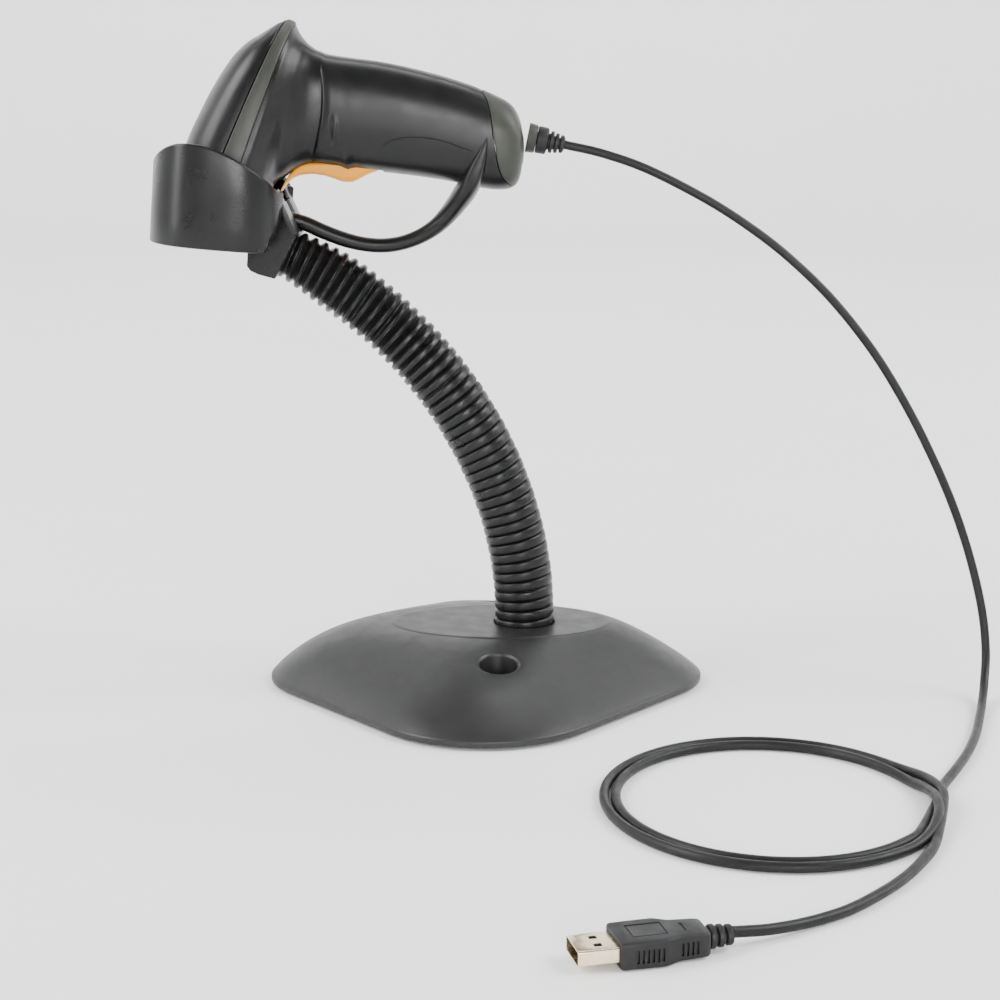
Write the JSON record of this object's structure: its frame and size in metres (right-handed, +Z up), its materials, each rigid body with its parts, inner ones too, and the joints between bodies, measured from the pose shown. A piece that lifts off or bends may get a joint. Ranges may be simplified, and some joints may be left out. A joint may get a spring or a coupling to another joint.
{
  "type": "handheld barcode scanner",
  "caption": "Handheld barcode scanner with sprung trigger and finger guard, seated in a weighted gooseneck stand, with its USB lead coiled in front.",
  "frame": {"origin": "on the counter, under the centre of the stand's base", "axes": "+X from the scanner's nose to its handle's end, +Y to the back, +Z up"},
  "size_m": [0.327, 0.3634, 0.2596],
  "materials": {
    "black_satin": "satin moulded plastic, fine spark texture",
    "black_matt": "matt moulded plastic",
    "conduit_black": "semi-gloss wound plastic conduit",
    "black_rubber": "soft moulded elastomer",
    "cord_black": "satin cable jacket",
    "olive_grey": "satin overmoulded elastomer",
    "amber": "glossy yellow-orange plastic",
    "pad_rubber": "matt foam rubber",
    "steel": "zinc-plated steel",
    "iron": "rough cast",
    "engine_metal": "die-cast",
    "mirror_glass": "first-surface mirror",
    "coil_copper": "enamelled copper wire",
    "laser_brass": "turned brass",
    "plug_metal": "warm plated steel",
    "board_green": "solder-masked board",
    "red_window": "dark red filter window",
    "light_pipe": "diffusing light pipe",
    "clear_plastic": "clear moulded plastic"
  },
  "bodies": {
    "stand": {"base_cover": "black_satin", "base_plate": "steel", "anti_slip_pad": "pad_rubber", "base_weight": "iron", "base_screw_1": "steel", "base_screw_2": "steel", "base_screw_3": "steel", "neck_nut": "steel", "neck_root_conduit": "conduit_black", "cord_bow": "cord_black", "cord_floor_lead": "cord_black", "cord_coil": "cord_black", "cord_tail": "cord_black", "plug_relief": "black_rubber", "plug_body": "black_rubber", "plug_shell": "plug_metal", "plug_tongue": "black_matt"},
    "neck_lower": {"neck_lower_conduit": "conduit_black"},
    "neck_middle": {"neck_middle_conduit": "conduit_black"},
    "neck_upper": {"neck_upper_conduit": "conduit_black"},
    "cradle": {"neck_top_conduit": "conduit_black", "cradle_bracket": "black_satin", "cradle_cup": "black_satin"},
    "scanner": {"top_cover": "black_satin", "handle_housing": "black_satin", "trigger_guard": "black_satin", "window_bezel": "black_matt", "switch_body": "black_matt", "photodiode": "black_matt", "decoder_chip": "black_matt", "beeper": "black_matt", "board_post": "black_matt", "cord_jack": "black_matt", "cord_boot": "black_rubber", "bumper_band": "olive_grey", "end_cap": "olive_grey", "cord_collar": "olive_grey", "trigger_pin": "steel", "trigger_spring": "steel", "mirror_post": "steel", "case_screw_1": "steel", "case_screw_2": "steel", "engine_chassis": "engine_metal", "collecting_mirror": "mirror_glass", "drive_coil": "coil_copper", "laser_module": "laser_brass", "main_board": "board_green", "scan_window": "red_window", "status_light": "light_pipe", "cord_inner_plug": "clear_plastic"},
    "trigger": {"trigger": "amber"},
    "switch_plunger": {"switch_plunger": "amber"},
    "scan_mirror": {"scan_mirror": "mirror_glass", "mirror_magnet": "steel"}
  },
  "joints": [
    {"name": "neck_sway", "type": "hinge", "parent": "stand", "child": "neck_lower", "pos_m": [0.01425, 0, 0.04821], "axis": [0.9776, 0, 0.2103], "range_deg": [-12, 12]},
    {"name": "neck_bend", "type": "hinge", "parent": "neck_lower", "child": "neck_middle", "pos_m": [0.00419, 0, 0.08484], "axis": [0, 1, 0], "range_deg": [-8, 10]},
    {"name": "neck_bend_middle", "type": "hinge", "parent": "neck_middle", "child": "neck_upper", "pos_m": [-0.01411, 0, 0.11814], "axis": [0, 1, 0], "range_deg": [-8, 10]},
    {"name": "neck_bend_top", "type": "hinge", "parent": "neck_upper", "child": "cradle", "pos_m": [-0.03932, 0, 0.14656], "axis": [0, 1, 0], "range_deg": [-8, 10]},
    {"name": "scanner_lift", "type": "slide", "parent": "cradle", "child": "scanner", "axis": [0.0837, 0, 0.9965], "range_m": [0, 0.046], "deforming": ["cord_bow"]},
    {"name": "trigger_pull", "type": "hinge", "parent": "scanner", "child": "trigger", "pos_m": [-0.044, 0, 0.2072], "axis": [0, 1, 0], "range_deg": [0, 4.5], "stiffness_Nm_per_rad": 0.45, "springref_deg": -4.58, "deforming": ["trigger_spring"]},
    {"name": "switch_travel", "type": "slide", "parent": "scanner", "child": "switch_plunger", "axis": [0, 0, 1], "range_m": [0, 0.0013]},
    {"name": "mirror_scan", "type": "hinge", "parent": "scanner", "child": "scan_mirror", "pos_m": [-0.10314, 0.003, 0.20164], "axis": [0.3714, 0, 0.9285], "range_deg": [-9, 9], "stiffness_Nm_per_rad": 0.004}
  ],
  "couplings": [
    {"joint": "neck_bend_middle", "follows": "neck_bend", "ratio": 1},
    {"joint": "neck_bend_top", "follows": "neck_bend", "ratio": 1},
    {"joint": "switch_travel", "follows": "trigger_pull", "m_per_rad": 0.0159}
  ]
}
